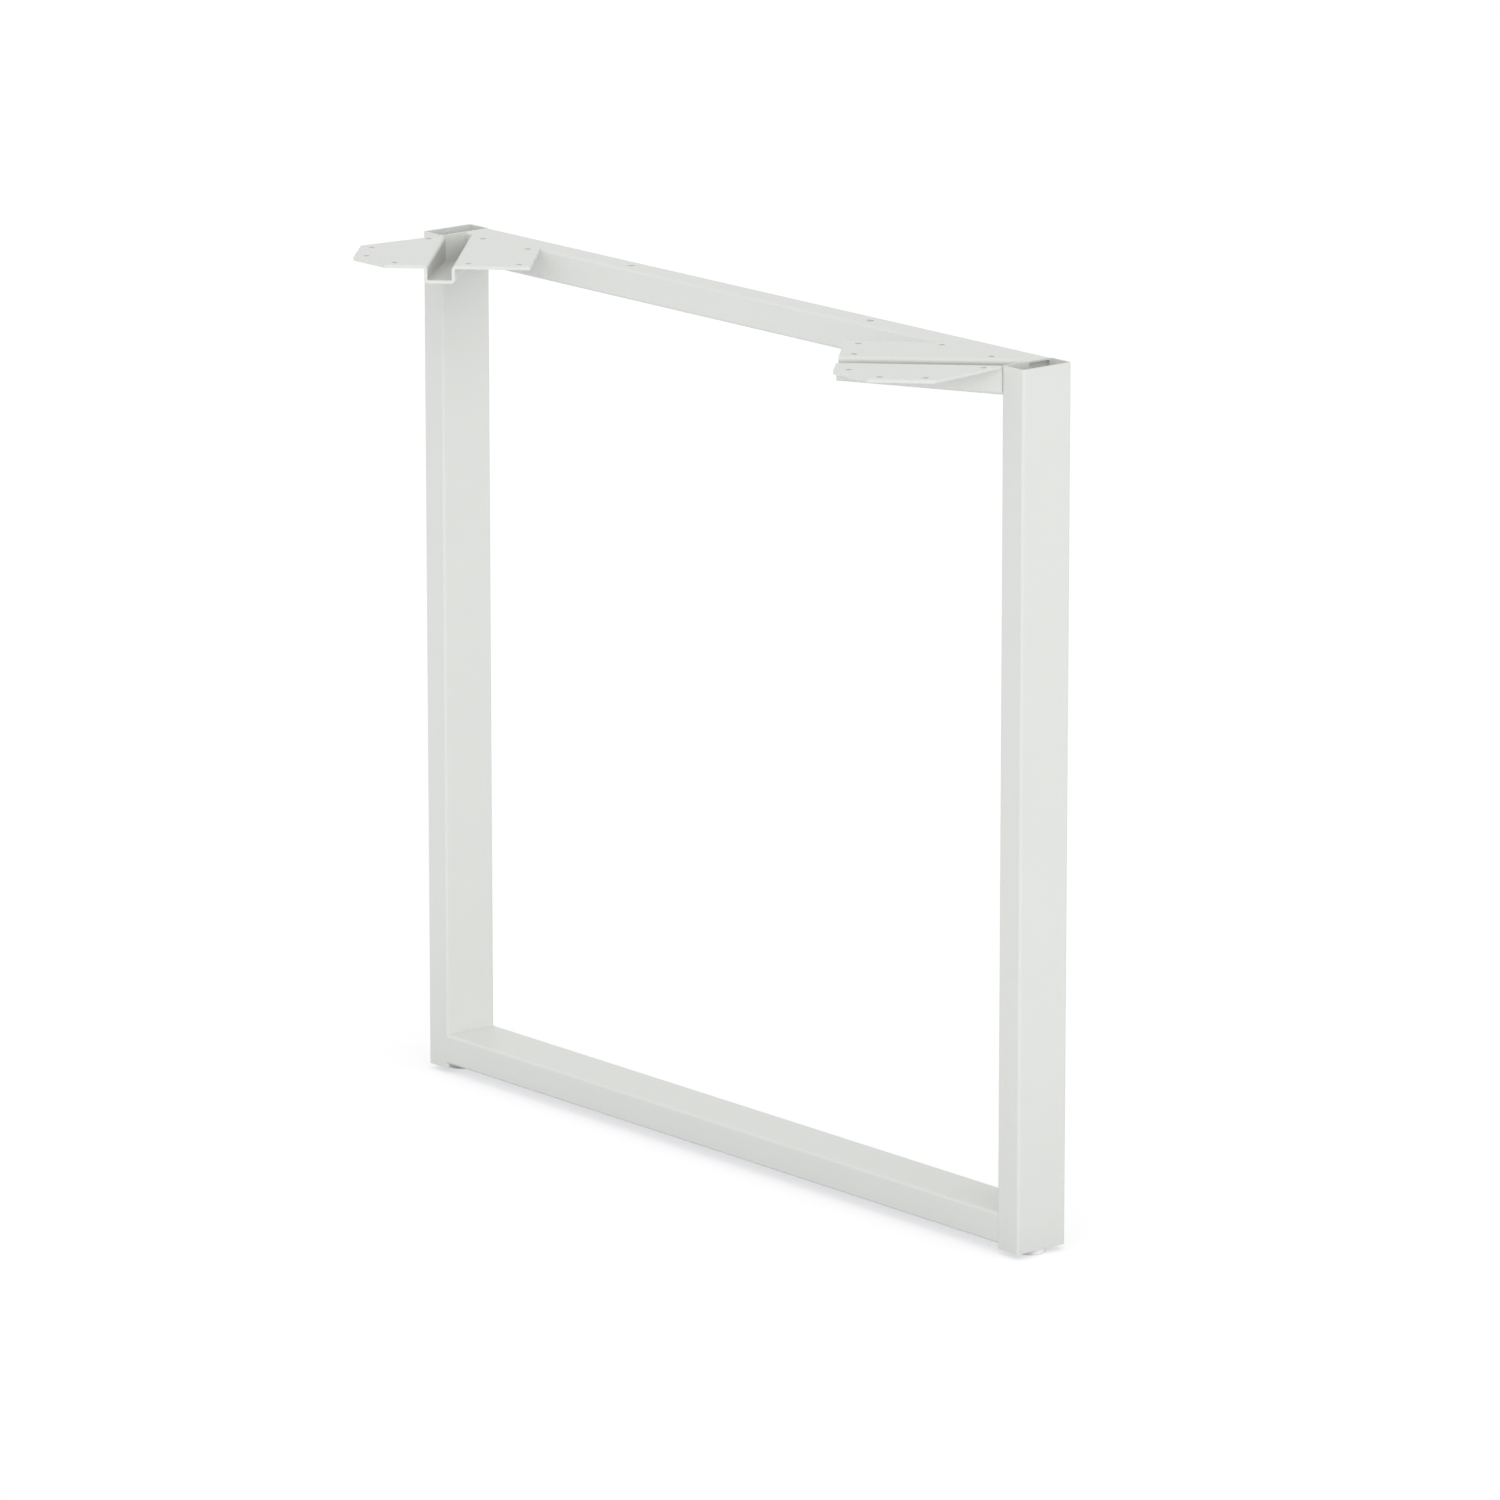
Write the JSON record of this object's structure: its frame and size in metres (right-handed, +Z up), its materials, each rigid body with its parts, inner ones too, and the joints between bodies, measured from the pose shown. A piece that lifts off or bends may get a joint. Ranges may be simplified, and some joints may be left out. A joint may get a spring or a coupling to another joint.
{
  "type": "table leg",
  "caption": "O-shaped table leg: a welded frame of rectangular tube with folded corner brackets that screw to a worktop, and levelling glides at its feet.",
  "frame": {"origin": "middle of the two screw holes in the top rail, on the plane that meets the worktop", "axes": "+Z up into the worktop, +X along the rails to the right upright, brackets reach towards -Y"},
  "size_m": [0.754, 0.1657, 0.7239],
  "materials": {
    "frame_paint": "satin light grey powder coat",
    "insert_plastic": "moulded black plastic",
    "stud_steel": "zinc plated",
    "base_nylon": "moulded white nylon"
  },
  "bodies": {
    "frame": {"left_upright": "frame_paint", "right_upright": "frame_paint", "bottom_rail": "frame_paint", "top_rail": "frame_paint", "left_bracket": "frame_paint", "right_bracket": "frame_paint", "left_glide_insert": "insert_plastic", "right_glide_insert": "insert_plastic"},
    "left_glide": {"left_glide_stud": "stud_steel", "left_glide_base": "base_nylon"},
    "right_glide": {"right_glide_stud": "stud_steel", "right_glide_base": "base_nylon"}
  },
  "joints": [
    {"name": "left_glide_travel", "type": "slide", "parent": "frame", "child": "left_glide", "axis": [0, 0, -1], "range_m": [0, 0.015]},
    {"name": "right_glide_travel", "type": "slide", "parent": "frame", "child": "right_glide", "axis": [0, 0, -1], "range_m": [0, 0.015]}
  ]
}
